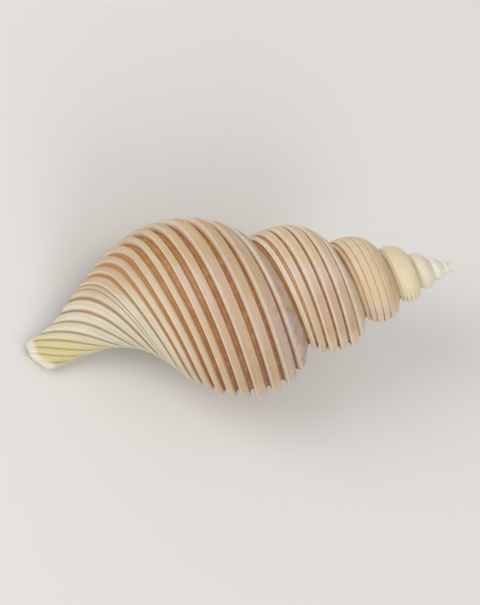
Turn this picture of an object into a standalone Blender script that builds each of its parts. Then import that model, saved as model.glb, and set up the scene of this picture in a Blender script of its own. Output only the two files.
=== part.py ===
# A whelk shell with flat spiral cords, lying on its aperture.
# Units are metres and +Z is up. The spire points to +X and the outer lip is on the +Y side.
#
# A point of the shell is found from three numbers: the turn it lies on, how far down its whorl it is
# (1 at the whorl's widest place), and how deep it is cut. Turn 0 is the underside edge of the last
# whorl as it is seen from behind, and the turns count up towards the outer lip.
import math

import bmesh
import bpy
from mathutils import Matrix, Vector

MM = 0.001

# Size of the shell
SHELL_LENGTH = 80.0 * MM
BODY_HEIGHT = 38.8 * MM
BODY_RADIUS = 16.0 * MM

# Growth in each turn, as natural logarithms
HEIGHT_GROWTH = 0.493
RADIUS_GROWTH = 0.36
RADIUS_SLOWING = 0.014
LATE_SLOWING = 0.15

# The tip of the spire is blunter than the growth would make it
TIP_TURN = -4.0
TIP_SINK = 0.5 * MM
TIP_RING = (0.45 * MM, 0.6 * MM)
TIP_DOME = 0.1 * MM
TIP_TURNS = 0.5

# Section of a whorl: how far down it is and how far out, as shares of the widest place's
WHORL_SECTION = (
    (0.754, 0.575), (0.765, 0.67), (0.80, 0.806), (0.85, 0.90), (0.92, 0.97), (1.0, 1.0),
    (1.08, 0.989), (1.16, 0.93), (1.24, 0.815), (1.32, 0.665), (1.40, 0.457), (1.48, 0.282),
    (1.56, 0.195), (1.66, 0.137), (1.84, 0.147), (1.95, 0.185), (2.02, 0.165),
)
SUTURE = WHORL_SECTION[0][0]
NECK = (1.08, 1.30)
NECK_FADE = 0.105
NECK_SLIM = 0.036
NECK_TURN = 0.5
NECK_BEFORE = 0.3
SUTURE_REACH = 0.07
ATTACH = 1.235
CANAL_START = 1.44
CANAL_FOOT = WHORL_SECTION[-1][0]

# Grooves between the cords: place and half width, in the same shares
GROOVES = (
    (0.829, 0.013), (0.905, 0.013), (0.982, 0.0135), (1.052, 0.0135), (1.117, 0.012), (1.176, 0.0115),
    (1.226, 0.0105), (1.275, 0.010), (1.320, 0.009), (1.358, 0.008), (1.395, 0.005),
)
GROOVE_SLOPE = 0.004
GROOVE_DEPTH = 0.05
GROOVE_FADE = 0.3
PLAIN_ROWS = (0.765, 0.785)
SPIRE_ROWS = (0.765, 0.829, 0.915, 1.010, 1.110)
CANAL_ROWS = 7

# The outer lip stands furthest round at the shoulder and steps back towards the canal
LIP_TURN = 0.63
LIP_EDGE = (
    (SUTURE, LIP_TURN), (0.9, 0.628), (1.0, 0.61), (1.1, 0.59), (1.2, 0.572), (1.3, 0.548),
    (1.5, 0.528), (1.6, 0.508), (1.75, 0.50),
)
LIP_SHEAR = 0.35
FIRST_TURN = LIP_TURN - 7.0
COLUMNS = 26

# The canal leans towards the columella's side, and its end is rounded
CANAL_BEND = 1.45 * MM
CANAL_BEND_START = 59.5 * MM
CANAL_BEND_LENGTH = 20.5 * MM
CANAL_END_ROUND = 3.4 * MM
CANAL_ROUND_TURN = 0.6

# The columella is a slender pillar that moves into the canal's inner wall
PILLAR_RADIUS = 1.4 * MM
PILLAR_TAPER = 7.0 * MM
PILLAR_SHIFT = 1.15 * MM
PILLAR_SHIFT_START = 50.0 * MM
PILLAR_SHIFT_LENGTH = 18.0 * MM
PILLAR_ROWS = 4
PILLAR_LIMIT = 0.9

# Inside of the shell
WALL = 0.10
SPIRE_WALL = 0.03
SPIRE_WALL_TURN = -1.6
NECK_WALL = 2.0
WALL_LIMIT = 0.5
WALL_STEP = 0.01
CANAL_WALL = 0.65 * MM
CALLUS = 0.4 * MM
CANAL_GAP = 0.6 * MM
CAVITY_OPEN_TURN = LIP_TURN + 0.06
CAVITY_FINE_TURN = CAVITY_OPEN_TURN - 1.75
CAVITY_DEEP_TURN = CAVITY_OPEN_TURN - 5.0
CAVITY_COLUMNS = (12, 16)
CAVITY_OUTER_ROWS = (0.775, 0.82, 0.91, 1.02, 1.13, 1.22, 1.31, 1.38)
CAVITY_FOOT = 1.45
CAVITY_FOOT_SHARES = (0.1, 0.2, 0.35, 0.55, 1.0)
CAVITY_INNER_ROWS = 9
CAVITY_OPENS = (0.06, 0.26)
CAVITY_OVERRUN = 3.0 * MM

# How the shell lies: its spire's rise and its roll towards the outer lip, in degrees
SPIRE_RISE = 18.65
LIP_ROLL = 8.08

SHELL_COLOUR = (0.53, 0.38, 0.24, 1.0)
SHELL_ROUGHNESS = 0.5
SHARP_ANGLE = 40.0

# Points nearer each other than this become one vertex
WELD = 0.0001 * MM


def smooth(x):
    x = min(max(x, 0.0), 1.0)
    return x * x * (3.0 - 2.0 * x)


def curve_value(points, x):
    """Height at x of a smooth curve through the points, which never overshoots them."""
    if x <= points[0][0]:
        return points[0][1]
    if x >= points[-1][0]:
        return points[-1][1]
    slopes = [(b[1] - a[1]) / (b[0] - a[0]) for a, b in zip(points, points[1:])]
    i = 0
    while x > points[i + 1][0]:
        i += 1
    ends = []
    for k in (i, i + 1):
        before = slopes[max(k - 1, 0)]
        after = slopes[min(k, len(slopes) - 1)]
        ends.append(0.0 if before * after <= 0.0 else 2.0 * before * after / (before + after))
    width = points[i + 1][0] - points[i][0]
    t = (x - points[i][0]) / width
    return (
        points[i][1] * (1.0 + 2.0 * t) * (1.0 - t) ** 2
        + points[i + 1][1] * t * t * (3.0 - 2.0 * t)
        + width * t * (1.0 - t) * (ends[0] * (1.0 - t) - ends[1] * t)
    )


def whorl_height(turn):
    """Distance from the tip to the widest place of the whorl."""
    sink = TIP_SINK * max(TIP_TURN - turn, 0.0)
    return BODY_HEIGHT * math.exp(HEIGHT_GROWTH * turn) - sink


def whorl_radius(turn):
    growth = RADIUS_GROWTH * turn - RADIUS_SLOWING * turn * turn
    return BODY_RADIUS * math.exp(growth - LATE_SLOWING * max(turn, 0.0) ** 1.5)


def angle(turn):
    return 2.0 * math.pi * turn - 0.5 * math.pi


def canal_end(turn):
    """Distance from the tip to the canal's rounded end, for the turns from 0 to the lip."""
    share = min(max(turn / CANAL_ROUND_TURN, 0.0), 1.0)
    return SHELL_LENGTH - CANAL_END_ROUND * (1.0 - math.sin(math.pi * share))


def section_end(turn):
    return min(CANAL_FOOT, canal_end(turn) / whorl_height(turn))


def plain_point(turn, down):
    """Distance along the axis and out from it, before the cords. The neck slims towards the lip."""
    near = smooth((down - NECK[0]) / NECK_FADE) * (1.0 - smooth((down - NECK[1]) / NECK_FADE))
    slim = NECK_SLIM * near * (smooth(turn / NECK_TURN) - 0.5) * smooth(turn / NECK_BEFORE + 1.0)
    return Vector((whorl_height(turn) * down, whorl_radius(turn) * curve_value(WHORL_SECTION, down + slim)))


def suture_point(turn):
    """Where the whorl joins the one before it; the first turn winds round a small ring."""
    if turn < FIRST_TURN + 1.0:
        return Vector(TIP_RING)
    return outer_point(turn - 1.0, ATTACH)


def outer_point(turn, down, cut=0.0):
    """Distance along the axis and out from it of a point on the outside."""
    point = plain_point(turn, down)
    if down < SUTURE + SUTURE_REACH:
        near_suture = (1.0 - (down - SUTURE) / SUTURE_REACH) ** 2
        point += near_suture * (suture_point(turn) - plain_point(turn, SUTURE))
    point.y -= cut * GROOVE_DEPTH * whorl_radius(turn)
    return Vector(TIP_RING).lerp(point, smooth((turn - FIRST_TURN) / TIP_TURNS))


def pillar_radius(along, turn):
    """Radius of the columella about the axis, on the side that the turn faces."""
    radius = PILLAR_RADIUS * along / (along + PILLAR_TAPER)
    shift = PILLAR_SHIFT * smooth((along - PILLAR_SHIFT_START) / PILLAR_SHIFT_LENGTH)
    side = angle(turn) + 0.5 * math.pi
    return shift * math.cos(side) + math.sqrt(radius ** 2 - (shift * math.sin(side)) ** 2)


def place(point, turn):
    """The shell's own axes: X runs from the tip to the canal, Y to the lip, Z to the back."""
    bend = CANAL_BEND * smooth((point.x - CANAL_BEND_START) / CANAL_BEND_LENGTH)
    side = angle(turn)
    return Vector((-point.x, point.y * math.sin(side) - bend, point.y * math.cos(side)))


class Surface:
    """Faces on shared vertices: points that coincide become one vertex."""

    def __init__(self):
        self.mesh = bmesh.new()
        self.vertices = {}

    def vertex(self, position):
        key = tuple(round(value / WELD) for value in position)
        if key not in self.vertices:
            self.vertices[key] = self.mesh.verts.new(position)
        return self.vertices[key]

    def face(self, vertices):
        corners = []
        for vertex in vertices:
            if vertex not in corners:
                corners.append(vertex)
        if len(corners) > 2:
            self.mesh.faces.new(corners)

    def loft(self, chains):
        """Quads between neighbouring chains, which have the same number of points."""
        for first, second in zip(chains, chains[1:]):
            for i in range(len(first) - 1):
                self.face((first[i], first[i + 1], second[i + 1], second[i]))

    def stitch(self, first, second):
        """Triangles between two chains that run down the axis, matched by how far down they are."""
        i = 0
        j = 0
        while i < len(first) - 1 or j < len(second) - 1:
            first_next = i < len(first) - 1 and (
                j == len(second) - 1 or first[i + 1].co.x >= second[j + 1].co.x
            )
            if first_next:
                self.face((first[i], first[i + 1], second[j]))
                i += 1
            else:
                self.face((first[i], second[j + 1], second[j]))
                j += 1

    def object(self, name):
        bmesh.ops.recalc_face_normals(self.mesh, faces=self.mesh.faces)
        data = bpy.data.meshes.new(name)
        self.mesh.to_mesh(data)
        self.mesh.free()
        return bpy.data.objects.new(name, data)


def corded_rows():
    """Places down the whorl with their cuts: four to each groove."""
    rows = [(SUTURE, 0.0)]
    rows += [(down, 0.0) for down in PLAIN_ROWS]
    for down, half in GROOVES:
        rows += [(down - half - GROOVE_SLOPE, 0.0), (down - half, 1.0)]
        rows += [(down + half, 1.0), (down + half + GROOVE_SLOPE, 0.0)]
    return rows


def sheared_turn(turn, down):
    """Draws the last columns back to the lip's edge."""
    back = LIP_TURN - curve_value(LIP_EDGE, down)
    return turn - back * smooth((turn - LIP_TURN + LIP_SHEAR) / LIP_SHEAR)


def outer_chain(surface, turn, rows, fade):
    chain = []
    for down, cut in rows:
        at = sheared_turn(turn, down)
        chain.append(surface.vertex(place(outer_point(at, down, cut * fade), at)))
    return chain


def canal_chain(surface, turn):
    """The canal's outside, then its foot, the pillar's side and the axis."""
    chain = []
    for k in range(CANAL_ROWS + 1):
        down = CANAL_START + (section_end(sheared_turn(turn, CANAL_FOOT)) - CANAL_START) * k / CANAL_ROWS
        at = sheared_turn(turn, down)
        point = outer_point(at, down)
        chain.append(surface.vertex(place(point, at)))
    foot = point.x
    end = canal_end(at)
    for k in range(PILLAR_ROWS + 1):
        along = foot + (max(end, foot) - foot) * k / PILLAR_ROWS
        out = min(pillar_radius(along, at), PILLAR_LIMIT * point.y)
        chain.append(surface.vertex(place(Vector((along, out)), at)))
    chain.append(surface.vertex(place(Vector((SHELL_LENGTH - CANAL_END_ROUND, 0.0)), 0.0)))
    return chain


def turns(first, last, columns):
    count = round((last - first) * columns)
    return [first + (last - first) * k / count for k in range(count + 1)]


def filled_shell():
    """The shell's outside with nothing cut out of it yet."""
    surface = Surface()
    last_turn = LIP_TURN - 1.0
    corded_turn = LIP_TURN - 2.0
    rows = corded_rows()
    hidden = [row for row in rows if row[0] > ATTACH]
    spire = [(SUTURE, 0.0)] + [(down, 0.0) for down in SPIRE_ROWS] + [(ATTACH, 0.0)]
    penult = [row for row in rows if row[0] < ATTACH] + [(ATTACH, 0.0)]

    spire_chains = []
    for turn in turns(FIRST_TURN, corded_turn - 1.0 / COLUMNS, COLUMNS):
        spire_chains.append(outer_chain(surface, turn, spire, 0.0))
    surface.loft(spire_chains)
    ring = [chain[0] for chain in spire_chains[:COLUMNS + 1]]
    nucleus = surface.vertex(place(Vector((TIP_DOME, 0.0)), 0.0))
    for first, second in zip(ring, ring[1:]):
        surface.face((first, second, nucleus))

    chains = []
    for turn in turns(corded_turn, LIP_TURN, COLUMNS):
        chains.append(outer_chain(surface, turn, penult, smooth((turn - corded_turn) / GROOVE_FADE)))
    surface.stitch(spire_chains[-1], chains[0])
    surface.loft(chains)

    lower = []
    for turn in turns(last_turn, LIP_TURN, COLUMNS):
        chain = outer_chain(surface, turn, [(ATTACH, 0.0)] + hidden, 1.0)
        lower.append(chain + canal_chain(surface, turn))
    surface.loft(lower)
    surface.stitch(chains[-1] + lower[-1][1:], lower[0])
    return surface.object("shell")


def wall_share(turn):
    """Thickness of the wall as a share of the whorl's radius: thinner up the spire, where it is smooth."""
    thicker = smooth((turn - SPIRE_WALL_TURN) / (LIP_TURN - SPIRE_WALL_TURN))
    return SPIRE_WALL + (WALL - SPIRE_WALL) * thicker


def inner_point(turn, down):
    """The outside's point, moved in by the wall's thickness, which is less on the slender canal."""
    point = plain_point(turn, down)
    along = (plain_point(turn, down + WALL_STEP) - plain_point(turn, down - WALL_STEP)).normalized()
    radius = whorl_radius(turn)
    wall = wall_share(turn) * radius * smooth(NECK_WALL * point.y / radius)
    wall = min(max(wall, CANAL_WALL), WALL_LIMIT * point.y)
    return point + wall * Vector((along.y, -along.x))


def cavity_foot(turn):
    """How far down the cavity reaches: it opens the canal once the turn is past the columella."""
    start, full = CAVITY_OPENS
    opened = (SHELL_LENGTH + CAVITY_OVERRUN) / whorl_height(turn)
    return CAVITY_FOOT + (opened - CAVITY_FOOT) * min(max((turn - start) / (full - start), 0.0), 1.0)


def columella_radius(along, turn, outer_side):
    """The inner side of the cavity: the whorl before, or the pillar, under a thin callus."""
    before = along / whorl_height(turn - 1.0)
    out = pillar_radius(along, turn)
    if before < CANAL_FOOT:
        out = max(out, whorl_radius(turn - 1.0) * curve_value(WHORL_SECTION, before))
    size = min(whorl_radius(turn) / BODY_RADIUS, 1.0)
    room = curve_value([tuple(point) for point in outer_side], along) - CANAL_GAP * size
    return min(out + CALLUS * size, room)


def cavity():
    surface = Surface()
    coarse, fine = CAVITY_COLUMNS
    columns = turns(CAVITY_DEEP_TURN, CAVITY_FINE_TURN, coarse)
    columns += turns(CAVITY_FINE_TURN, CAVITY_OPEN_TURN, fine)[1:]
    loops = []
    for turn in columns:
        rows = list(CAVITY_OUTER_ROWS)
        foot = cavity_foot(turn)
        rows += [rows[-1] + (foot - rows[-1]) * share for share in CAVITY_FOOT_SHARES]
        outer_side = [inner_point(turn, down) for down in rows]
        loop = list(outer_side)
        top = outer_side[0].x
        for k in range(CAVITY_INNER_ROWS):
            along = outer_side[-1].x + (top - outer_side[-1].x) * k / (CAVITY_INNER_ROWS - 1)
            loop.append(Vector((along, columella_radius(along, turn, outer_side))))
        loops.append([surface.vertex(place(point, turn)) for point in loop])
    surface.loft([loop + loop[:1] for loop in loops])
    surface.face(loops[0])
    surface.face(loops[-1])
    return surface.object("cavity")


def shell_material():
    material = bpy.data.materials.new("shell")
    material.use_nodes = True
    shader = material.node_tree.nodes["Principled BSDF"]
    shader.inputs["Base Color"].default_value = SHELL_COLOUR
    shader.inputs["Roughness"].default_value = SHELL_ROUGHNESS
    shader.inputs["Metallic"].default_value = 0.0
    return material


def lay_down(objects):
    """Turns the shell to rest on its aperture, then sets its box's bottom centre on the origin."""
    rolled = Matrix.Rotation(math.radians(LIP_ROLL), 4, "X")
    raised = Matrix.Rotation(math.radians(-SPIRE_RISE), 4, "Y")
    for thing in objects:
        thing.data.transform(raised @ rolled)
    corners = [vertex.co for vertex in objects[0].data.vertices]
    low = Vector([min(corner[k] for corner in corners) for k in range(3)])
    high = Vector([max(corner[k] for corner in corners) for k in range(3)])
    shift = Matrix.Translation((-(low.x + high.x) / 2.0, -(low.y + high.y) / 2.0, -low.z))
    for thing in objects:
        thing.data.transform(shift)


def main():
    for thing in list(bpy.data.objects):
        bpy.data.objects.remove(thing)
    parts = bpy.data.collections.new("ancistrolepis vietnamensis shell")
    cutters = bpy.data.collections.new("cutters")
    for collection in (parts, cutters):
        bpy.context.scene.collection.children.link(collection)

    shell = filled_shell()
    hollow = cavity()
    lay_down((shell, hollow))
    parts.objects.link(shell)
    cutters.objects.link(hollow)
    hollow.hide_render = True
    hollow.display_type = "WIRE"

    cut = shell.modifiers.new("cavity", "BOOLEAN")
    cut.operation = "DIFFERENCE"
    cut.solver = "EXACT"
    cut.object = hollow
    shell.data.materials.append(shell_material())
    shell.data.shade_smooth()
    shell.data.set_sharp_from_angle(angle=math.radians(SHARP_ANGLE))


main()
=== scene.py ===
# A whelk shell with flat spiral cords, lying on its aperture on a pale studio floor.
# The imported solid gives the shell's place and size. Here it is grown again much finer: outside and
# hollow are grids that are bent round the same spiral, and the hollow is cut out of the outside.
import math
from functools import lru_cache

import bmesh
import bpy
from mathutils import Matrix, Vector


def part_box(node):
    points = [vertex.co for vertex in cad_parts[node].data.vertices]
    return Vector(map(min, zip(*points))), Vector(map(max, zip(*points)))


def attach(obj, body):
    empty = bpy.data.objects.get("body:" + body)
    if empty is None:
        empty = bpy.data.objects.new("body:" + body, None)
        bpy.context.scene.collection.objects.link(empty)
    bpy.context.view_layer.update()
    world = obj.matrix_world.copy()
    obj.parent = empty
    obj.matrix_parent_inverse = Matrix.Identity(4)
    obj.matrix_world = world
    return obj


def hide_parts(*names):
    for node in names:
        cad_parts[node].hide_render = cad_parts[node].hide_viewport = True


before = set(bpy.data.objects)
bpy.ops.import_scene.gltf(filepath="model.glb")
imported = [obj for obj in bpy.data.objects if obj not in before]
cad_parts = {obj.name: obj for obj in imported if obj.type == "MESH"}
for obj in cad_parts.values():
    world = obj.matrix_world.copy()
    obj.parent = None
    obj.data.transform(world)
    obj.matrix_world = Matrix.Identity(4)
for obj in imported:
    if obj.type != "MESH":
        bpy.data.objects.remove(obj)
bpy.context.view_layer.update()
mm = 0.001

# How the shell grows. A place on it is a turn and how far down the whorl it is, where 1 is the
# whorl's widest place. Turn 0 is the underside edge of the last whorl seen from behind, and the
# turns count up to the outer lip.
growth = {
    "length": 80.0 * mm,
    "bodyHeight": 38.8 * mm,
    "bodyRadius": 16.0 * mm,
    "heightRate": 0.493,          # natural logarithm of the growth in one turn
    "radiusRate": 0.36,
    "radiusSlowing": 0.014,       # times the turn squared, and below, how much more it slows from turn 0
    "lateSlowing": 0.15,
    "tipTurn": -4.0,              # before this turn the whorls lie lower, by tipSink a turn
    "tipSink": 0.5 * mm,
    "tipRing": (0.32 * mm, 0.8 * mm),   # how far from the tip the first whorl starts, and how wide
    "tipTurns": 0.5,              # how long it takes to grow out of that ring
    "tipReach": 1.0 * mm,         # an open edge this near the tip belongs to it
    "section": (                  # the whorl's outline: place down the whorl, share of its radius
        (0.754, 0.575), (0.765, 0.67), (0.80, 0.806), (0.85, 0.90), (0.92, 0.97), (1.0, 1.0),
        (1.08, 0.989), (1.16, 0.93), (1.24, 0.815), (1.32, 0.665), (1.40, 0.457), (1.48, 0.282),
        (1.56, 0.195), (1.66, 0.137), (1.84, 0.147), (1.95, 0.185), (2.02, 0.165),
    ),
    "suture": 0.754,              # where the outline starts, on the whorl before
    "sutureReach": 0.07,          # how far down it is drawn over to meet that whorl
    "attach": 1.235,              # where the next whorl joins on
    "attachFade": 0.004,          # how far before that the grooves end
    "slopeStep": 0.005,           # half the step down the whorl that its slope is measured over
    "canalStart": 1.44,
    "canalFoot": 2.02,
    "canalRows": 72,
    "canalBend": (1.45 * mm, 59.5 * mm, 20.5 * mm),   # how far, from where, over what length
    "canalEnd": (                 # turn, and where the canal ends as a share of the length
        (0.0, 0.9575), (0.07, 0.967), (0.15, 0.981), (0.22, 0.995), (0.30, 1.0), (0.42, 1.0),
        (0.55, 0.988),
    ),
    "neck": (0.036, 0.5, 0.3),    # how much it slims, up to what turn, and from how long before turn 0
    "neckPlace": (1.08, 0.1, 1.3, 0.11),   # from where and over what length, and to where and over what
    "pillarRadius": (1.4 * mm, 7.0 * mm),             # and how far from the tip it tapers
    "pillarShift": (1.15 * mm, 50.0 * mm, 18.0 * mm),   # how far it bends, from where, over what length
    "pillarLimit": 0.9,           # no thicker than this share of the canal
    "pillarRound": 2.6 * mm,      # length of its rounded end, and the share of its radius left there
    "pillarStub": 0.3,
    "pillarRows": 14,
    "pillarSpacing": 1.6,         # how much its rows crowd towards the end
    # The first whorls flatten to a cone: before what turn, over how many, how much, its width and slope
    "flat": (-3.9, 1.4, 0.38, 0.97, 0.8),
    "whorls": 7.0,
    "columns": 92,                # in a turn
}

# Grooves between the cords: place down the last whorl, half width, depth as a share of the radius,
# and how wide and how deep it is on the whorls before as a share of that
cords = {
    "grooves": (
        (0.833, 0.0090, 0.050, 0.74, 0.7), (0.912, 0.0118, 0.054, 0.70, 0.7),
        (0.988, 0.0127, 0.055, 0.66, 0.7), (1.067, 0.0127, 0.055, 0.70, 0.75),
        (1.133, 0.0117, 0.054, 0.9, 1.0), (1.188, 0.0112, 0.052, 1.15, 1.0),
        (1.2345, 0.0098, 0.046, 1.0, 1.0), (1.2800, 0.0085, 0.038, 1.0, 1.0),
        (1.3160, 0.0072, 0.031, 1.0, 1.0), (1.3500, 0.0056, 0.026, 1.0, 1.0),
        (1.3765, 0.0020, 0.013, 1.0, 1.0), (1.3870, 0.0020, 0.013, 1.0, 1.0),
        (1.408, 0.0060, 0.028, 1.0, 1.0), (1.444, 0.0062, 0.028, 1.0, 1.0),
        (1.485, 0.0066, 0.027, 1.0, 1.0), (1.541, 0.008, 0.023, 1.0, 1.0),
        (1.602, 0.010, 0.019, 1.0, 1.0), (1.680, 0.012, 0.016, 1.0, 1.0),
        (1.765, 0.012, 0.014, 1.0, 1.0), (1.860, 0.013, 0.013, 1.0, 1.0),
        (1.955, 0.013, 0.012, 1.0, 1.0),
    ),
    "reach": 0.03,                # every groove lies within this on either side
    "edge": 0.0035,               # how far a groove's side slopes
    "softer": (0.008, 1.2, 0.25),   # how much more towards the canal, from where, over what length
    # A side slopes over no more half widths than this: above and below, and where that changes
    "sideLimit": (1.0, 1.6, 1.36, 1.42),
    "sideTone": 4.0,              # how soon a place on a side counts as one for the colours
    "sideRows": (-1.0, -0.35, 0.35, 1.0, 1.8),   # the grid's rows on a side, as shares of its slope
    "narrow": 0.8,                # grooves narrower than this on the whorls before have rows there too
    "narrowest": 0.1,             # least share of a groove's width on those whorls
    "wider": (0.08, 0.28, 0.2),   # how much wider they get towards the lip, from what turn, over how many
    # How much shallower they get at the base towards the lip: from what turn and over how many turns,
    # and from what place down the whorl and over what length
    "shallower": (0.5, 0.32, 0.14, 1.35, 0.06),
    "earlier": (                  # turn, and how far they count as those of the whorls before
        (-3.0, 0.8), (-2.85, 2.2), (-2.15, 2.2), (-2.0, 1.3), (-1.87, 1.95), (-1.75, 1.95),
        (-1.2, 1.15), (-1.0, 0.4), (-0.87, 1.0), (-0.5, 1.0), (0.0, 0.0),
    ),
    "deepness": (                 # turn, and the share of their depth
        (-4.2, 0.0), (-3.25, 0.12), (-2.99, 2.0), (-2.83, 0.2), (-2.4, 0.3), (-1.99, 1.5),
        (-1.83, 0.5), (-1.6, 0.55), (-1.2, 0.9), (-1.0, 1.75), (-0.86, 0.95), (-0.2, 1.0),
        (0.0, 1.4), (0.14, 1.0), (0.34, 1.0), (0.47, 1.35), (0.6, 1.0),
    ),
    # Every groove wanders a little as it goes round: lower on the whorls before, and higher at the
    # whorl's underside and upper side. Each is a curve round the whorl and its share down the whorl.
    "lower": ((-1.75, 1.1), (-0.75, 1.0), (-0.5, 1.0), (0.0, 0.0)),
    "lowerShare": (
        (0.754, 0.0), (0.838, 0.007), (0.916, 0.0185), (0.991, 0.028), (1.068, 0.037), (1.133, 0.041),
        (1.188, 0.041), (1.235, 0.040), (1.30, 0.020), (1.42, 0.0),
    ),
    "under": (
        (0.0, -0.016), (0.1, -0.007), (0.2, -0.001), (0.28, 0.0), (0.75, 0.0), (0.9, -0.008), (1.0, -0.016),
    ),
    "underShare": ((0.754, 0.0), (0.83, 1.0), (1.07, 0.9), (1.2, 0.6), (1.3, 0.35), (1.42, 0.0)),
    "upper": (
        (0.25, 0.0), (0.3, -0.003), (0.4, -0.017), (0.5, -0.035), (0.6, -0.042), (0.75, -0.03),
        (0.95, -0.003), (1.0, 0.0),
    ),
    "upperShare": (
        (0.754, 0.0), (0.838, -0.5), (0.916, 0.25), (0.991, 0.55), (1.068, 0.6), (1.133, 0.8),
        (1.188, 1.0), (1.28, 1.0), (1.3165, 0.85), (1.3505, 0.75), (1.38, 0.45), (1.409, 0.1),
        (1.43, 0.0),
    ),
    "upperBefore": 0.75,          # the upper side's share on the whorls before
    "steady": (0.1, 0.06),        # turns and length about the lip's join where no groove wanders
}

lip = {
    "turn": 0.63,
    "edge": (
        (0.754, 0.63), (0.9, 0.628), (1.0, 0.61), (1.1, 0.59), (1.2, 0.572), (1.3, 0.548),
        (1.5, 0.528), (1.6, 0.508), (1.75, 0.50),
    ),
    "shear": 0.35,                # turns over which the columns come to lie along the edge
    "rounding": (0.0005, 0.0016, 0.0034, 0.0062, 0.01),   # turns before the edge, to where it starts
    "round": 0.45 * mm,
    "roundReach": 0.03,           # how far below the suture the rounding starts
    "glazeTurns": 0.085,          # how far the inner glaze spreads over the whorl in front of the mouth
    "glazeEdge": (3.0, 0.012, 0.09),   # how soon it starts, and its reach below and above the join
    "capTurns": 0.06,             # how far before the edge the cap over the mouth faces
}

hollow = {
    "wall": 0.10,                 # share of the whorl's radius
    "lipWall": 0.9 * mm,
    "lipTurns": 0.13,             # where the wall starts to thin towards the lip
    "spireWall": 0.13,            # the same at an earlier turn
    "spireWallTurn": -2.4,
    "neckWall": 2.0,              # how soon the neck's wall thins with its radius
    "wallLimit": 0.5,             # share of the radius that the wall may fill
    "canalWall": 0.65 * mm,
    "callus": (                   # thickness of the columella's glaze, before and after the lip's turn
        (-0.16, 0.36 * mm), (-0.05, -0.04 * mm), (0.0, -0.06 * mm), (0.06, 0.6 * mm),
    ),
    "gap": 0.6 * mm,              # least opening between the columella and the wall
    "past": 0.06,                 # turns that it runs past the lip
    "deep": 2.6,                  # turns that it reaches in
    "columns": 34,                # in a turn
    "edgeColumns": (0.16, 150),   # turns before the lip with finer columns, and how fine
    "top": 0.775,                 # where it starts below the suture
    "neckRow": 1.375,             # down to where its rows follow the grooves
    "foot": 1.45,                 # where it ends until the canal opens, and over what turns that opens
    "opens": (0.06, 0.26),
    "overrun": 3.0 * mm,          # how far it runs past the canal's end
    "canalRows": 22,
    "innerRows": 40,
    "rowSpacing": 1.5,            # how much the canal's rows crowd towards the neck
    "fluteTurn": 0.05,            # how far before the lip the rows fit the grooves
    "fluteSide": 1.2,             # how far beside a groove there is a row, as a share of its slope
    "rowGap": 0.002,              # between the last of these rows and the neck's
}

pose = {"rise": 18.65, "roll": 8.08}   # degrees: the spire up, and over towards the lip

# How near corners are joined, and from how many degrees an edge stays sharp
joining = {"weld": 0.0005 * mm, "sharpAngle": 50.0}


def smooth(x):
    x = min(max(x, 0.0), 1.0)
    return x * x * (3.0 - 2.0 * x)


def curveValue(points, x):
    # A smooth curve through the points that never overshoots them
    if x <= points[0][0]:
        return points[0][1]
    if x >= points[-1][0]:
        return points[-1][1]
    slopes = [(b[1] - a[1]) / (b[0] - a[0]) for a, b in zip(points, points[1:])]
    i = 0
    while x > points[i + 1][0]:
        i += 1
    ends = []
    for k in (i, i + 1):
        before = slopes[max(k - 1, 0)]
        after = slopes[min(k, len(slopes) - 1)]
        ends.append(0.0 if before * after <= 0.0 else 2.0 * before * after / (before + after))
    width = points[i + 1][0] - points[i][0]
    t = (x - points[i][0]) / width
    return (
        points[i][1] * (1.0 + 2.0 * t) * (1.0 - t) ** 2
        + points[i + 1][1] * t * t * (3.0 - 2.0 * t)
        + width * t * (1.0 - t) * (ends[0] * (1.0 - t) - ends[1] * t)
    )


# The spiral

@lru_cache(maxsize=None)
def whorlHeight(turn):
    sink = growth["tipSink"] * max(growth["tipTurn"] - turn, 0.0)
    return growth["bodyHeight"] * math.exp(growth["heightRate"] * turn) - sink


@lru_cache(maxsize=None)
def whorlRadius(turn):
    rate = growth["radiusRate"] * turn - growth["radiusSlowing"] * turn * turn
    return growth["bodyRadius"] * math.exp(rate - growth["lateSlowing"] * max(turn, 0.0) ** 1.5)


@lru_cache(maxsize=None)
def sectionAt(down):
    return curveValue(growth["section"], down)


def sideOf(turn):
    return 2.0 * math.pi * turn - 0.5 * math.pi


def canalEnd(turn):
    return growth["length"] * curveValue(growth["canalEnd"], turn)


def sectionEnd(turn):
    return min(growth["canalFoot"], canalEnd(turn) / whorlHeight(turn))


def plainPoint(turn, down):
    # Distance along the axis from the tip, and out from the axis. The neck slims towards the lip.
    slim, full, before = growth["neck"]
    top, topLength, low, lowLength = growth["neckPlace"]
    near = smooth((down - top) / topLength) * (1.0 - smooth((down - low) / lowLength))
    slim *= near * (smooth(turn / full) - 0.5) * smooth(turn / before + 1.0)
    share = sectionAt(down + slim)
    start, reach, most, wide, slope = growth["flat"]
    if turn < start:
        share += most * smooth((start - turn) / reach) * (wide * down ** slope - share)
    return Vector((whorlHeight(turn) * down, whorlRadius(turn) * share))


def firstTurn():
    return lip["turn"] - growth["whorls"]


def suturePoint(turn):
    if turn < firstTurn() + 1.0:
        return Vector(growth["tipRing"])
    return outerPoint(turn - 1.0, growth["attach"])


def outward(turn, down):
    step = growth["slopeStep"]
    along = plainPoint(turn, down + step) - plainPoint(turn, down - step)
    return Vector((-along.y, along.x)).normalized()


def outerPoint(turn, down, cut=0.0):
    point = plainPoint(turn, down)
    if down < growth["suture"] + growth["sutureReach"]:
        near = (1.0 - (down - growth["suture"]) / growth["sutureReach"]) ** 2
        point += near * (suturePoint(turn) - plainPoint(turn, growth["suture"]))
    if cut:
        point -= cut * whorlRadius(turn) * outward(turn, down)
    return Vector(growth["tipRing"]).lerp(point, smooth((turn - firstTurn()) / growth["tipTurns"]))


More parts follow.
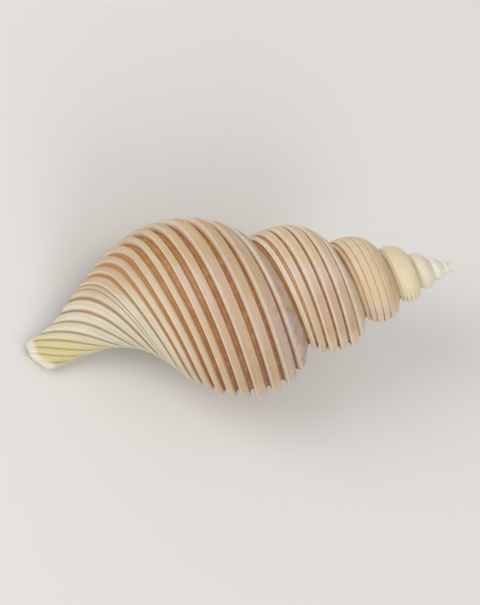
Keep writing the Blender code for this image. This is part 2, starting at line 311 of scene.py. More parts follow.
def pillarRadius(along, turn):
    radius, taper = growth["pillarRadius"]
    shift, start, length = growth["pillarShift"]
    radius *= along / (along + taper)
    shift *= smooth((along - start) / length)
    side = sideOf(turn) + 0.5 * math.pi
    return shift * math.cos(side) + math.sqrt(radius ** 2 - (shift * math.sin(side)) ** 2)


def place(point, turn):
    # The shell's own axes: X from the canal to the tip, Y to the lip, Z to the back
    bend, start, length = growth["canalBend"]
    bend *= smooth((point.x - start) / length)
    side = sideOf(turn)
    return Vector((-point.x, point.y * math.sin(side) - bend, point.y * math.cos(side)))


# Cords and grooves

def edgeOf(centre, half):
    most, start, length = cords["softer"]
    above, below, high, low = cords["sideLimit"]
    limit = above + (below - above) * smooth((centre - high) / (low - high))
    return min(cords["edge"] + most * smooth((centre - start) / length), half * limit)


def driftAt(turn, row):
    # How much further down the whorl a row of the grid lies at this turn
    phase = turn % 1.0
    before = curveValue(cords["lower"], turn)
    drift = before * curveValue(cords["lowerShare"], row)
    drift += curveValue(cords["under"], phase) * curveValue(cords["underShare"], row)
    share = 1.0 + (cords["upperBefore"] - 1.0) * before
    drift += share * curveValue(cords["upper"], phase) * curveValue(cords["upperShare"], row)
    turns, length = cords["steady"]
    start = lip["turn"] - 1.0
    steady = 1.0 - smooth(abs(turn - start) / turns)
    steady *= 1.0 - smooth(abs(row - growth["attach"]) / length)
    return drift * (1.0 - steady)


def isCovered(turn, row):
    # Whether the next whorl lies on this one here
    return turn <= lip["turn"] - 1.0 and row <= growth["attach"]


def downAt(turn, row):
    down = row + driftAt(turn, row)
    return min(down, growth["attach"]) if isCovered(turn, row) else down


def grooveCut(turn, row):
    # Depth of the groove at a place, as a share of the whorl's radius, how far into the groove it is,
    # and on which side of it: 1 towards the canal, -1 towards the tip
    deepness = curveValue(cords["deepness"], turn)
    if deepness <= 0.0:
        return 0.0, 0.0, 0.0
    earlier = curveValue(cords["earlier"], turn)
    wider, start, length = cords["wider"]
    wider = 1.0 + wider * smooth((turn - start) / length)
    shallower, start, length, high, reach = cords["shallower"]
    deepness *= 1.0 - shallower * smooth((turn - start) / length) * smooth((row - high) / reach)
    for centre, half, depth, width, strength in cords["grooves"]:
        off = row - centre
        if abs(off) < cords["reach"]:
            half *= max(1.0 + (width - 1.0) * earlier, cords["narrowest"]) * wider
            edge = edgeOf(centre, half)
            if abs(off) < half + edge:
                inside = smooth((half + edge - abs(off)) / (2.0 * edge))
                depth *= (1.0 + (strength - 1.0) * min(earlier, 1.0)) * deepness
                # The side places painted light on a groove's wall towards the canal and painted shade on
                # its wall towards the tip
                side = min(cords["sideTone"] * inside, 1.0) * off / (half + edge)
                return depth * inside, inside, side
    return 0.0, 0.0, 0.0


@lru_cache(maxsize=None)
def acrossCord(row):
    # 0 at a cord's edge towards the canal, 1 at its edge towards the tip
    low = growth["suture"]
    for centre, half, *rest in cords["grooves"]:
        if row < centre:
            return min(max((centre - half - row) / (centre - half - low), 0.0), 1.0)
        low = centre + half
    return 0.5


def grooveRows(low, high):
    # Rows close together on the grooves' sides, and one on each cord and groove floor
    rows = {low, high}
    last = low
    for centre, half, depth, width, strength in cords["grooves"]:
        edge = edgeOf(centre, half)
        marks = [centre + s * (half + share * edge) for s in (-1, 1) for share in cords["sideRows"]]
        if width < cords["narrow"]:
            marks += [centre + s * half * width for s in (-1, 1)]
        marks += [centre, (last + centre - half) / 2.0]
        rows.update(round(mark, 5) for mark in marks if low < mark < high)
        last = centre + half
    return sorted(rows)


def shearedTurn(turn, down):
    back = lip["turn"] - curveValue(lip["edge"], down)
    return turn - back * smooth((turn - lip["turn"] + lip["shear"]) / lip["shear"])


# Patches: grids whose rows run down the whorl and whose columns run round it

def addPatch(mesh, columns, rows, pointAt):
    made = bmesh.ops.create_grid(mesh, x_segments=columns - 1, y_segments=rows - 1, size=1.0)
    growthLayer = mesh.loops.layers.float_vector["growth"]
    glazeAndShadingLayer = mesh.loops.layers.float_vector["finish"]
    marks = {}
    for vertex in made["verts"]:
        i = round((vertex.co.x + 1.0) / 2.0 * (columns - 1))
        j = round((vertex.co.y + 1.0) / 2.0 * (rows - 1))
        vertex.co, marks[vertex] = pointAt(i, j)
    faces = {face for vertex in made["verts"] for face in vertex.link_faces}
    for face in faces:
        for loop in face.loops:
            mark = marks[loop.vert]
            loop[growthLayer] = mark[:3]
            loop[glazeAndShadingLayer] = mark[3:]
    return made["verts"]


def reportStage(stage, mesh):
    openEdges = sum(not edge.is_manifold for edge in mesh.edges)
    print(stage, len(mesh.faces), "faces,", openEdges, "open edges")


def newMesh():
    mesh = bmesh.new()
    mesh.loops.layers.float_vector.new("growth")
    mesh.loops.layers.float_vector.new("finish")
    return mesh


def toObject(mesh, name):
    data = bpy.data.meshes.new(name)
    mesh.to_mesh(data)
    mesh.free()
    return bpy.data.objects.new(name, data)


def turnsBetween(first, last, columns):
    count = round((last - first) * columns)
    return [first + (last - first) * k / count for k in range(count + 1)]


def shellTurns(first):
    # Whole whorls up to the lip. Each has the finer columns of the lip's edge, so that whorls join.
    turns = turnsBetween(first, lip["turn"], growth["columns"])
    whorls = round(lip["turn"] - first)
    turns += [lip["turn"] - back - whorl for back in lip["rounding"] for whorl in range(whorls)]
    return sorted(turns)


def lipRound(turn, down):
    # How far the outside turns in at the lip's edge
    width = lip["rounding"][-1]
    left = (lip["turn"] - turn) / width
    if left >= 1.0:
        return 0.0
    arc = 2.0 * math.pi * width * plainPoint(turn, down).y
    depth = min(lip["round"], arc) * smooth((down - growth["suture"]) / lip["roundReach"])
    return depth * (1.0 - math.sqrt(1.0 - (1.0 - max(left, 0.0)) ** 2))


def glazeAt(turn, down):
    # Share of the glaze that fills the grooves of the whorl in front of the mouth
    left = (turn - lip["turn"] + 1.0) / lip["glazeTurns"]
    if left < 0.0:
        return 0.0
    past = down - growth["attach"]
    soon, below, above = lip["glazeEdge"]
    start = max(smooth(soon * left), smooth(past / below))
    return start * (1.0 - smooth(left)) * smooth(past / above + 1.0)


def surfacePoint(gridTurn, row):
    # A point of the outside with its cords, lip and callus, and its marks for the colours
    turn = shearedTurn(gridTurn, row)
    down = downAt(gridTurn, row)
    depth, inside, side = grooveCut(turn, row)
    if isCovered(gridTurn, row):
        depth *= smooth((growth["attach"] - down) / growth["attachFade"])
    glaze = glazeAt(gridTurn, down)
    depth = depth * (1.0 - glaze) + lipRound(gridTurn, down) / whorlRadius(turn)
    marks = (turn, down, inside * (1.0 - glaze), glaze, acrossCord(row), side)
    return outerPoint(turn, down, depth), turn, marks


def shellOutside():
    mesh = newMesh()
    upperRows = grooveRows(growth["suture"], growth["attach"])
    turns = shellTurns(firstTurn())

    def upper(i, j):
        point, turn, marks = surfacePoint(turns[i], upperRows[j])
        return place(point, turn), marks

    addPatch(mesh, len(turns), len(upperRows), upper)

    lowerRows = grooveRows(growth["attach"], growth["canalStart"])
    lastTurns = shellTurns(lip["turn"] - 1.0)

    def lower(i, j):
        point, turn, marks = surfacePoint(lastTurns[i], lowerRows[j])
        return place(point, turn), marks

    addPatch(mesh, len(lastTurns), len(lowerRows), lower)
    canalRows = growth["canalRows"]

    def canal(i, j):
        foot = sectionEnd(shearedTurn(lastTurns[i], growth["canalFoot"]))
        down = growth["canalStart"] + (foot - growth["canalStart"]) * j / canalRows
        point, turn, marks = surfacePoint(lastTurns[i], down)
        return place(point, turn), marks

    addPatch(mesh, len(lastTurns), canalRows + 1, canal)
    pillarRows = growth["pillarRows"]

    def pillar(i, j):
        foot = sectionEnd(shearedTurn(lastTurns[i], growth["canalFoot"]))
        start, turn, marks = surfacePoint(lastTurns[i], foot)
        if j == 0:
            return place(start, turn), marks
        marks = (turn, foot, 0.0, 0.0, 0.5, 0.0)
        if j == pillarRows + 1:
            return place(Vector((canalEnd(0.0), 0.0)), 0.0), marks
        left = ((pillarRows - j) / (pillarRows - 1)) ** growth["pillarSpacing"]
        left *= max(canalEnd(turn) - start.x, 0.0)
        along = max(canalEnd(turn), start.x) - left
        out = min(pillarRadius(along, turn), growth["pillarLimit"] * start.y)
        rounded = 1.0 - min(left / growth["pillarRound"], 1.0)
        out *= max(math.sqrt(1.0 - rounded ** 2), growth["pillarStub"])
        return place(Vector((along, out)), turn), marks

    addPatch(mesh, len(lastTurns), pillarRows + 2, pillar)
    bmesh.ops.remove_doubles(mesh, verts=mesh.verts, dist=joining["weld"])
    openEdges = [edge for edge in mesh.edges if len(edge.link_faces) == 1]
    tip = [edge for edge in openEdges if all(-v.co.x < growth["tipReach"] for v in edge.verts)]
    mouth = [edge for edge in openEdges if edge not in set(tip)]
    bmesh.ops.holes_fill(mesh, edges=tip, sides=0)
    side = sideOf(lip["turn"] - lip["capTurns"])
    bmesh.ops.triangle_fill(mesh, edges=mouth, use_beauty=False, use_dissolve=False,
                            normal=Vector((0.0, math.cos(side), -math.sin(side))))
    bmesh.ops.recalc_face_normals(mesh, faces=mesh.faces)
    reportStage("outside grown:", mesh)
    return toObject(mesh, "outside")


# The hollow

def wallAt(turn, down):
    start = hollow["spireWallTurn"]
    share = hollow["spireWall"]
    share += (hollow["wall"] - share) * smooth((turn - start) / (lip["turn"] - start))
    radius = whorlRadius(turn)
    out = plainPoint(turn, down).y
    wall = share * radius * smooth(hollow["neckWall"] * out / radius)
    near = 1.0 - smooth((curveValue(lip["edge"], down) - turn) / hollow["lipTurns"])
    wall += near * (min(hollow["lipWall"], wall) - wall)
    wall = min(max(wall, hollow["canalWall"]), hollow["wallLimit"] * out)
    if down < hollow["neckRow"]:
        row = down - driftAt(turn, down - driftAt(turn, down))
        wall += near * grooveCut(turn, row)[0] * radius
    return wall


def innerPoint(turn, down):
    return plainPoint(turn, down) - wallAt(turn, down) * outward(turn, down)


def hollowFoot(turn):
    start, full = hollow["opens"]
    opened = (growth["length"] + hollow["overrun"]) / whorlHeight(turn)
    return hollow["foot"] + (opened - hollow["foot"]) * min(max((turn - start) / (full - start), 0.0), 1.0)


def columellaRadius(along, turn, outerSide):
    before = along / whorlHeight(turn - 1.0)
    out = pillarRadius(along, turn)
    if before < growth["canalFoot"]:
        out = max(out, whorlRadius(turn - 1.0) * sectionAt(before))
    size = min(whorlRadius(turn) / growth["bodyRadius"], 1.0)
    room = curveValue(outerSide, along) - hollow["gap"] * size
    return min(out + curveValue(hollow["callus"], turn - lip["turn"]) * size, room)


def hollowRows():
    # Rows on each groove, so that the lip's inner side is fluted as its outer side is
    rows = {hollow["top"], hollow["neckRow"]}
    last = hollow["top"]
    for row, half, *rest in cords["grooves"]:
        side = half + hollow["fluteSide"] * edgeOf(row, half)
        centre = downAt(lip["turn"] - hollow["fluteTurn"], row)
        marks = [centre + off for off in (-side, -half, 0.0, half, side)] + [(last + centre) / 2.0]
        low = hollow["neckRow"] - hollow["rowGap"]
        rows.update(round(mark, 5) for mark in marks if hollow["top"] < mark < low)
        last = centre
    return sorted(rows)


def shellHollow():
    mesh = newMesh()
    last = lip["turn"] + hollow["past"]
    reach, fine = hollow["edgeColumns"]
    turns = turnsBetween(last - hollow["deep"], lip["turn"] - reach, hollow["columns"])
    turns += turnsBetween(lip["turn"] - reach, last, fine)[1:]
    rows, canalRows, innerRows = hollowRows(), hollow["canalRows"], hollow["innerRows"]
    neckRow = hollow["neckRow"]
    canalShares = [((k + 1) / canalRows) ** hollow["rowSpacing"] for k in range(canalRows)]
    loops = []
    for turn in turns:
        foot = hollowFoot(turn)
        downs = rows + [neckRow + (foot - neckRow) * share for share in canalShares]
        outerSide = [innerPoint(turn, down) for down in downs]
        known = [tuple(point) for point in outerSide]
        loop = [(point, down) for point, down in zip(outerSide, downs)]
        top, low = outerSide[0].x, outerSide[-1].x
        for k in range(1, innerRows):
            along = low + (top - low) * k / innerRows
            loop.append((Vector((along, columellaRadius(along, turn, known))), along / whorlHeight(turn)))
        loops.append(loop + loop[:1])

    def wall(i, j):
        point, down = loops[i][j]
        return place(point, turns[i]), (turns[i], down, 0.0, 1.0, 0.5, 0.0)

    addPatch(mesh, len(turns), len(loops[0]), wall)
    bmesh.ops.remove_doubles(mesh, verts=mesh.verts, dist=joining["weld"])
    openEdges = [edge for edge in mesh.edges if len(edge.link_faces) == 1]
    bmesh.ops.holes_fill(mesh, edges=openEdges, sides=0)
    bmesh.ops.recalc_face_normals(mesh, faces=mesh.faces)
    reportStage("hollow shaped:", mesh)
    return toObject(mesh, "hollow")


# Putting the shell together

def layDown(objects):
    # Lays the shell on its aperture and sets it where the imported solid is
    turned = Matrix.Rotation(math.radians(-pose["rise"]), 4, "Y")
    turned = turned @ Matrix.Rotation(math.radians(pose["roll"]), 4, "X")
    for thing in objects:
        thing.data.transform(turned)
    low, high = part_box("shell")
    corners = [vertex.co for vertex in objects[0].data.vertices]
    ownLow = Vector([min(corner[k] for corner in corners) for k in range(3)])
    ownHigh = Vector([max(corner[k] for corner in corners) for k in range(3)])
    shift = (Vector(low) + Vector(high) - ownLow - ownHigh) / 2.0
    shift.z = low[2] - ownLow.z
    for thing in objects:
        thing.data.transform(Matrix.Translation(shift))
    return Matrix.Translation(shift) @ turned


def growShell():
    outside = shellOutside()
    inside = shellHollow()
    world = layDown((outside, inside))
    for thing in (outside, inside):
        bpy.context.scene.collection.objects.link(thing)
    cut = outside.modifiers.new("hollow", "BOOLEAN")
    cut.operation = "DIFFERENCE"
    cut.solver = "EXACT"
    cut.object = inside
    graph = bpy.context.evaluated_depsgraph_get()
    data = bpy.data.meshes.new_from_object(outside.evaluated_get(graph))
    data.name = "whelk shell"
    for thing in (outside, inside):
        old = thing.data
        bpy.data.objects.remove(thing)
        bpy.data.meshes.remove(old)
    shell = bpy.data.objects.new("shell_surface", data)
    bpy.context.scene.collection.objects.link(shell)
    data.shade_smooth()
    data.set_sharp_from_angle(angle=math.radians(joining["sharpAngle"]))
    print("shell made:", sum(len(face.vertices) - 2 for face in data.polygons), "triangles")
    return shell, world


# Shader maths

class Wire:
    # A socket of a material's tree. Operators on it add Math nodes, and add() adds any other node.
    def __init__(self, tree, socket=None):
        self.tree = tree
        self.socket = socket

    def add(self, kind, settings=None, inputs=None, output=0):
        node = self.tree.nodes.new(kind)
        for name, value in (settings or {}).items():
            if name == "stops":
                ramp = node.color_ramp
                while len(ramp.elements) < len(value):
                    ramp.elements.new(1.0)
                for element, (position, colour) in zip(ramp.elements, value):
                    element.position = position
                    element.color = colour
            else:
                setattr(node, name, value)
        for name, value in (inputs or {}).items():
            if isinstance(value, Wire):
                self.tree.links.new(value.socket, node.inputs[name])
            else:
                node.inputs[name].default_value = value
        return Wire(self.tree, node.outputs[output])

    def maths(self, operation, *values):
        return self.add("ShaderNodeMath", {"operation": operation}, dict(enumerate(values)))

    def __add__(self, other):
        return self.maths("ADD", self, other)

    def __radd__(self, other):
        return self.maths("ADD", other, self)

    def __sub__(self, other):
        return self.maths("SUBTRACT", self, other)

    def __rsub__(self, other):
        return self.maths("SUBTRACT", other, self)

    def __mul__(self, other):
        return self.maths("MULTIPLY", self, other)

    def __rmul__(self, other):
        return self.maths("MULTIPLY", other, self)

    def __truediv__(self, other):
        return self.maths("DIVIDE", self, other)

    def between(self, low, high):
        # 0 below low, 1 above high and smooth in between, or the other way round where low is higher
        if low > high:
            return 1.0 - self.between(high, low)
        return self.add(
            "ShaderNodeMapRange", {"interpolation_type": "SMOOTHSTEP"},
            {"Value": self, "From Min": low, "From Max": high},
        )

    def mixed(self, first, second):
        # This value as the share of the second colour
        return self.add(
            "ShaderNodeMix", {"data_type": "RGBA"}, {0: self, 6: first, 7: second}, output=2,
        )

    def ramp(self, stops):
        return self.add("ShaderNodeValToRGB", {"stops": stops}, {0: self})

    def noise(self, where, scale, detail, roughness):
        return self.add(
            "ShaderNodeTexNoise", None,
            {"Vector": where, "Scale": scale, "Detail": detail, "Roughness": roughness},
        )

    def vector(self, x, y, z):
        return self.add("ShaderNodeCombineXYZ", None, {0: x, 1: y, 2: z})


def colour(red, green, blue):
    # From the 0 to 255 numbers of a colour picker to linear light
    made = []
    for value in (red, green, blue):
        value /= 255.0
        made.append(value / 12.92 if value <= 0.04045 else ((value + 0.055) / 1.055) ** 2.4)
    return (*made, 1.0)


shellColours = {
    "base": colour(214, 210, 192),
    "canal": colour(212, 200, 142),
    "rim": colour(232, 226, 208),
    # paler cord edges and streaks: partly wear, and on the edges partly a painted highlight
    "wornEdge": colour(228, 214, 194),
    "pinkEdge": colour(212, 188, 172),
    "tan": colour(198, 170, 130),
    # painted shade: a darker tan on cords that face the lamps, by a suture and near the base
    "dusk": colour(184, 150, 116),
    "warm": colour(204, 176, 126),
    "pink": colour(210, 172, 156),
    "lilac": colour(208, 188, 182),
    "green": colour(200, 198, 158),
    "olive": colour(196, 180, 140),
    "mauve": colour(184, 166, 170),
    "gold": colour(204, 160, 104),
    "rust": colour(160, 96, 66),
    "pale": colour(240, 230, 208),
    "rosy": colour(162, 116, 102),
    "baseGroove": colour(152, 118, 82),
    "thinGroove": colour(178, 156, 120),
    "canalGroove": colour(154, 138, 96),
    "yellowGroove": colour(188, 168, 104),
    # painted light on each groove's side towards the canal, which faces the key lamp
    "lightSide": colour(200, 162, 120),
    # painted shade on each groove's side towards the tip; the same colour gives the real dark specks
    "shade": colour(112, 68, 38),
    "inside": colour(238, 224, 204),
    "deepInside": colour(226, 196, 170),
}

# Stretches that several tints share: what is measured, and from where to where the tint comes in,
# or goes out where the second number is lower. A fourth number is the least that it leaves.
# Measured are the turn and the place down the whorl, the place across a cord, the side of a groove,
# the millimetres along from the tip and left to the rim, the age, which is a wavering turn, and noises.
lastWhorl = ("turn", -0.4, 0.0)
lastTwo = ("turn", -1.7, -0.9)
lastThree = ("turn", -2.1, -1.4)
whorlBefore = (("turn", -1.6, -1.4), ("turn", -0.2, -0.4))
aboveBase = ("down", 1.3, 1.15)
# Where the last whorls face the lamps most; the cords there get painted shade
facingBand = (("down", 0.81, 0.86), ("down", 1.2, 1.06))
facing = (("turn", 0.03, 0.13), ("turn", 0.46, 0.34), *facingBand)
facingBefore = (("turn", -0.92, -0.84), ("turn", -0.7, -0.77), *facingBand)
shoulder = (("down", 0.9, 0.84), ("turn", -0.35, 0.05), ("turn", 0.32, 0.2, 0.4))
lateBase = (("turn", 0.3, 0.44), ("down", 1.41, 1.37))
# Each groove's side towards the tip, turned away from the key lamp, where shade is painted
upperSide = ("side", -0.2, -0.95)


# Painted edges of reflections: how sharp they are and how far each side's tint reaches
reflectionEdgeLook = {
    "sharp": 0.004,               # turns to either side over which the colour changes
    "soft": 0.02,                 # and how softly it ends up and down the whorl
    "warm": (0.55, 0.05, 0.26, 0.6364),   # strength, fading between these turns, share on earlier whorls
    "lilac": (0.5, 0.02, 0.16),
}


def reflectionEdgeTints(edgeTurn, high, low):
    # Painted edge of the studio light's reflection at a turn, along the growth lines: warm after it and
    # paler lilac before it, where the reflection lies, between two places down the whorl
    sharp, soft = reflectionEdgeLook["sharp"], reflectionEdgeLook["soft"]
    shown = (("down", high - soft, high + soft), ("down", low + soft, low - soft))
    warm, full, none, earlier = reflectionEdgeLook["warm"]
    newer = (("age", edgeTurn - sharp, edgeTurn + sharp), ("age", edgeTurn + none, edgeTurn + full), (*lastWhorl, earlier))
    lilac, full, none = reflectionEdgeLook["lilac"]
    older = (("age", edgeTurn + sharp, edgeTurn - sharp), ("age", edgeTurn - none, edgeTurn - full))
    return ("warm", warm, *newer, *shown), ("lilac", lilac, *older, *shown)


# A tint is a colour, how strong it is, and the stretches where it shows. Tints are laid one over
# another in the order of their list.
shellLook = {
    "turns": (-6.4, 0.7),         # the turns that the colours along the spiral reach over
    "cords": (                    # turn and colour
        (-6.4, colour(232, 231, 214)), (-4.6, colour(231, 229, 213)), (-3.9, colour(229, 220, 205)),
        (-3.2, colour(230, 223, 192)), (-2.4, colour(224, 208, 170)), (-1.9, colour(222, 202, 166)),
        (-1.2, colour(222, 206, 176)), (-0.5, colour(222, 204, 174)), (0.1, colour(208, 180, 144)),
        (0.6, colour(204, 178, 138)),
    ),
    "cordTints": (
        ("base", 1.0, lastWhorl, ("down", 1.12, 1.4)),
        # Painted shade on the cords of the last whorls that face the lamps
        ("dusk", 0.9, *facing),
        ("dusk", 0.9, *facingBefore),
        ("pink", 0.45, ("patches", 0.46, 0.64), lastThree, aboveBase),
        ("pink", 0.4, ("mottle", 0.5, 0.62), lastThree, aboveBase),
        ("green", 0.4, ("mottle", 0.5, 0.38), lastThree),
        # Painted edges of the studio light's reflection across the cords, at four turns
        *reflectionEdgeTints(0.345, 0.93, 1.16),
        *reflectionEdgeTints(0.262, 0.80, 0.98),
        *reflectionEdgeTints(-0.672, 0.7, 1.5),
        *reflectionEdgeTints(-1.83, 0.7, 1.5),
        # More painted shade on the same cords that face the lamps
        ("dusk", 0.35, *facing),
        ("dusk", 0.35, *facingBefore),
        ("mauve", 0.85, ("patches", 0.28, 0.5), *shoulder),
        ("rosy", 0.65, ("mottle", 0.48, 0.6), *shoulder),
        # Painted shade along the antepenultimate whorl's upper suture
        ("dusk", 0.5, ("down", 0.95, 0.84), ("turn", -1.95, -1.8), ("turn", -1.5, -1.7)),
        ("olive", 0.4, *lateBase, ("down", 1.05, 1.15)),
        # Painted shade on the cords near the base that face up to the lamps
        ("dusk", 0.6, *lateBase, ("down", 1.18, 1.3)),
        ("pale", 0.8, *whorlBefore, ("down", 1.16, 1.185)),
        # Each cord is tan in the middle and paler along its edges, most towards the canal: partly wear and
        # partly a painted highlight where the lamp grazes that edge
        ("tan", 0.4, ("across", 0.3, 0.55), ("across", 0.9, 0.7), lastTwo),
        ("wornEdge", 0.75, ("across", 0.3, 0.05), lastTwo),
        ("pinkEdge", 0.6, ("across", 0.84, 1.0), lastTwo, lastThree, aboveBase),
        ("tan", 0.25, ("bands", 0.5, 0.7)),
        ("wornEdge", 0.3, ("streaks", 0.5, 0.72)),
        ("canal", 1.0, ("yellow",)),
    ),
    "grooves": (                  # turn and colour
        (-6.4, colour(230, 222, 196)), (-2.9, colour(222, 206, 168)), (-2.3, colour(208, 184, 138)),
        (-1.6, colour(190, 154, 106)), (-1.2, colour(172, 124, 76)), (-0.8, colour(162, 114, 66)),
        (-0.2, colour(166, 112, 62)), (0.15, colour(164, 110, 62)), (0.4, colour(180, 128, 70)),
    ),
    "grooveTints": (
        ("baseGroove", 1.0, lastWhorl, ("down", 1.31, 1.37)),
        ("thinGroove", 0.6, lastWhorl, ("down", 1.335, 1.36), ("down", 1.4, 1.385)),
        ("canalGroove", 1.0, lastWhorl, ("down", 1.43, 1.5)),
        ("yellowGroove", 1.0, lastWhorl, ("down", 1.55, 1.65)),
        ("gold", 0.6, *whorlBefore, ("down", 1.08, 1.16)),
        ("rust", 0.35, ("mottle", 0.5, 0.62), lastThree, aboveBase),
        ("gold", 0.35, ("mottle", 0.5, 0.38), lastThree, aboveBase),
        # Painted light on each groove's side towards the canal
        ("lightSide", 0.5, ("side", 0.3, 0.95), lastTwo),
        # Painted shade on each groove's side towards the tip, with real dark striae
        ("shade", 1.0, ("dark",)),
        ("warm", 0.2, ("lines", 0.55, 0.75)),
    ),
    "outsideTints": (
        ("rim", 0.9, ("left", 1.8, 0.8), lastWhorl),
        # Real dark specks, in the painted shade's colour
        ("shade", 0.12, ("specks", 0.62, 0.75)),
    ),
    "sums": {                     # stretches with their strengths that add up, for one tint each
        "yellow": (
            (0.45, lastWhorl, ("down", 1.53, 1.62)),
            (0.3, lastWhorl, ("down", 1.5, 1.6), ("along", 71.2, 71.5)),
        ),
        # painted shade on the grooves' sides towards the tip, more at the base and less on the canal, with
        # real dark striae
        "dark": (
            (0.35, upperSide), (0.35, upperSide, ("down", 1.18, 1.3), ("turn", 0.2, 0.4)),
            (-0.5, upperSide, ("down", 1.4, 1.6)), (0.15, ("striae", 0.5, 0.8)),
        ),
    },
    "rim": 76.6,                  # millimetres from the tip to the canal's rim, and how much more by turn
    "rimStep": (3.4, ("turn", 0.0, 0.3)),
    "furrow": ("groove", 0.25, 0.95),
    "newInside": ("turn", -0.1, 0.55),    # where the inside turns paler
    "waver": (4.0, 11.0, 0.05),   # how often it changes in a turn and down the whorl, and by how many turns
    "grain": {                    # how often it changes likewise, its seed, detail and roughness
        "lines": (230.0, 5.0, 9.0, 3.0, 0.6),
        "bands": (24.0, 3.0, 4.0, 3.0, 0.6),
        "striae": (4.0, 150.0, 2.0, 2.0, 0.5),
        "streaks": (7.0, 34.0, 3.0, 2.0, 0.55),
    },
    "speckles": {                 # how many in a metre, detail and roughness
        "patches": (150.0, 3.0, 0.55),
        "mottle": (560.0, 3.0, 0.62),
        "specks": (900.0, 2.0, 0.5),
    },
    "roughness": (0.5, 0.24, 0.12),       # outside, on the inner glaze, and how much the lines change it
    "relief": {"lines": 0.6, "striae": 0.35, "bands": 0.8},
    "glazeCover": 0.85,           # share of the relief that the glaze hides
    "bump": {"Strength": 0.35, "Distance": 0.15 * mm},
}


def shellMaterial(world):
    material = bpy.data.materials.new("whelk shell")
    material.use_nodes = True
    tree = material.node_tree
    shader = tree.nodes["Principled BSDF"]
    make = Wire(tree)

    def parts(name):
        mark = make.add("ShaderNodeAttribute", {"attribute_name": name}, output=1)
        split = mark.add("ShaderNodeSeparateXYZ", None, {0: mark})
        return [Wire(tree, socket) for socket in split.socket.node.outputs]

    turn, down, groove = parts("growth")
    # The glaze's share, the place across a cord and the side of a groove; the last two place painted
    # highlight, light and shade
    glaze, across, side = parts("finish")
    spot = make.add("ShaderNodeTexCoord", output=3)
    toCanal = -(world.to_3x3() @ Vector((1.0, 0.0, 0.0)))
    dot = {"operation": "DOT_PRODUCT"}
    along = make.add("ShaderNodeVectorMath", dot, {0: spot, 1: toCanal}, output=1)
    along = (along - world.translation.dot(toCanal)) / mm       # from the tip

    # Growth lines cross the cords and waver a little, and striae run along them
    turns, downs, shift = shellLook["waver"]
    waver = make.noise(make.vector(turn * turns, down * downs, 0.0), 1.0, 2.0, 0.5)
    age = turn + (waver - 0.5) * shift
    sources = {"turn": turn, "down": down, "groove": groove, "across": across, "side": side}
    sources.update(along=along, age=age)
    for name, (turns, downs, seed, detail, roughness) in shellLook["grain"].items():
        where = make.vector(age * turns, down * downs, seed)
        sources[name] = make.noise(where, 1.0, detail, roughness)
    for name, settings in shellLook["speckles"].items():
        sources[name] = make.noise(spot, *settings)

    @lru_cache(maxsize=None)
    def stretch(name, low=None, high=None, least=0.0):
        if low is None:
            return sources[name]
        part = sources[name].between(low, high)
        return least + (1.0 - least) * part if least else part

    def masked(strength, *stretches):
        mask = strength
        for place in stretches:
            mask = stretch(*place) * mask
        return mask

    def tinted(surface, tints):
        for name, *where in tints:
            surface = masked(*where).mixed(surface, shellColours[name])
        return surface

    def alongSpiral(stops):
        first, last = shellLook["turns"]
        shares = [((at - first) / (last - first), shade) for at, shade in stops]
        return ((turn - first) / (last - first)).ramp(shares)

    for name, added in shellLook["sums"].items():
        sources[name] = sum(masked(*part) for part in added)
    sources["left"] = shellLook["rim"] + masked(*shellLook["rimStep"]) - along

    cord = tinted(alongSpiral(shellLook["cords"]), shellLook["cordTints"])
    furrow = tinted(alongSpiral(shellLook["grooves"]), shellLook["grooveTints"])
    outside = stretch(*shellLook["furrow"]).mixed(cord, furrow)
    outside = tinted(outside, shellLook["outsideTints"])
    newInside = stretch(*shellLook["newInside"])
    inside = newInside.mixed(shellColours["deepInside"], shellColours["inside"])
    tree.links.new(glaze.mixed(outside, inside).socket, shader.inputs["Base Color"])

    outer, inner, change = shellLook["roughness"]
    lines = sources["lines"]
    roughness = outer + (inner - outer) * glaze + (lines - 0.5) * change * (1.0 - glaze)
    tree.links.new(roughness.socket, shader.inputs["Roughness"])
    relief = sum(sources[name] * share for name, share in shellLook["relief"].items())
    relief = relief * (1.0 - shellLook["glazeCover"] * glaze)
    bump = make.add("ShaderNodeBump", None, {**shellLook["bump"], "Height": relief})
    tree.links.new(bump.socket, shader.inputs["Normal"])
    print("shell coloured:", len(tree.nodes), "shader nodes")
    return material


# Studio

studio = {
    "frameWidth": 480.0,          # pixels
    "frameHeight": 605.0,
    "scale": 0.18 * mm,           # one pixel at the shell
    "tipPixel": (454.7, 266.6),
    "axisRise": 11.0,             # degrees that the axis rises to the right
    "axisTilt": 12.05,            # degrees that the tip leans away from the camera
    "distance": 1600.0 * mm,
    "sensor": 36.0,
    "farthest": 10.0,             # metres that the camera sees
    "lights": {                   # where it is to the right, up and back, how far, how wide, and watts
        "key": ((-0.5, 0.4, 1.0), 0.8, 0.45, 2.7),
        "fill": ((0.7, -0.8, 0.7), 0.8, 0.5, 1.5),
    },
    "floorSize": 4.0,
    "floorColour": (0.78, 0.77, 0.75, 1.0),
    "floorRoughness": 0.7,
    "airColour": (1.0, 0.98, 0.96, 1.0),
    "airStrength": 0.62,
}


def cameraAxes(world):
    rise, tilt = math.radians(studio["axisRise"]), math.radians(studio["axisTilt"])
    toTip = Vector((math.cos(tilt), 0.0, math.sin(tilt)))
    toLip = Vector((0.0, 1.0, 0.0))
    back = Vector((-math.sin(tilt), 0.0, math.cos(tilt)))
    right = math.cos(rise) * toTip - math.sin(rise) * toLip
    up = math.sin(rise) * toTip + math.cos(rise) * toLip
    turned = world.to_3x3()
    return turned @ right, turned @ up, turned @ back


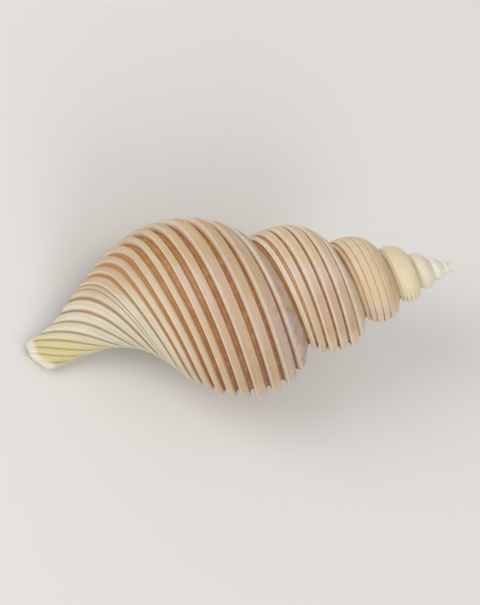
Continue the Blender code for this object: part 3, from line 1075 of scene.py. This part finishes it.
def setCamera(world):
    right, up, back = cameraAxes(world)
    x, y = studio["tipPixel"]
    centre = world.translation.copy()
    centre += (studio["frameWidth"] / 2.0 - x) * studio["scale"] * right
    centre += (y - studio["frameHeight"] / 2.0) * studio["scale"] * up
    centre += growth["length"] / 2.0 * math.sin(math.radians(studio["axisTilt"])) * back
    data = bpy.data.cameras.new("camera")
    data.sensor_width = studio["sensor"]
    data.lens = studio["sensor"] * studio["distance"] / (studio["frameHeight"] * studio["scale"])
    data.clip_end = studio["farthest"]
    camera = bpy.data.objects.new("camera", data)
    bpy.context.scene.collection.objects.link(camera)
    turned = Matrix((right, up, back)).transposed().to_4x4()
    camera.matrix_world = Matrix.Translation(centre + studio["distance"] * back) @ turned
    bpy.context.scene.camera = camera
    bpy.context.scene.view_settings.view_transform = "Standard"
    return centre


def addLight(name, centre, axes):
    aim, distance, size, power = studio["lights"][name]
    data = bpy.data.lights.new(name, "AREA")
    data.shape = "DISK"
    data.size = size
    data.energy = power
    lamp = bpy.data.objects.new(name, data)
    bpy.context.scene.collection.objects.link(lamp)
    right, up, back = axes
    direction = (aim[0] * right + aim[1] * up + aim[2] * back).normalized()
    lamp.location = centre + distance * direction
    lamp.rotation_mode = "QUATERNION"
    lamp.rotation_quaternion = direction.to_track_quat("Z", "Y")


def layFloor():
    bpy.ops.mesh.primitive_plane_add(size=studio["floorSize"])
    floor = bpy.context.object
    floor.name = "floor"
    paper = bpy.data.materials.new("pale floor")
    paper.use_nodes = True
    shader = paper.node_tree.nodes["Principled BSDF"]
    shader.inputs["Base Color"].default_value = studio["floorColour"]
    shader.inputs["Roughness"].default_value = studio["floorRoughness"]
    floor.data.materials.append(paper)


def setStudio(world):
    centre = setCamera(world)
    for name in studio["lights"]:
        addLight(name, centre, cameraAxes(world))
    layFloor()
    air = bpy.data.worlds.new("studio")
    bpy.context.scene.world = air
    air.use_nodes = True
    sky = air.node_tree.nodes["Background"]
    sky.inputs["Color"].default_value = studio["airColour"]
    sky.inputs["Strength"].default_value = studio["airStrength"]
    print("studio set:", len(studio["lights"]), "lights")


shell, world = growShell()
shell.data.materials.append(shellMaterial(world))
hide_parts("shell")
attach(shell, "root")
setStudio(world)
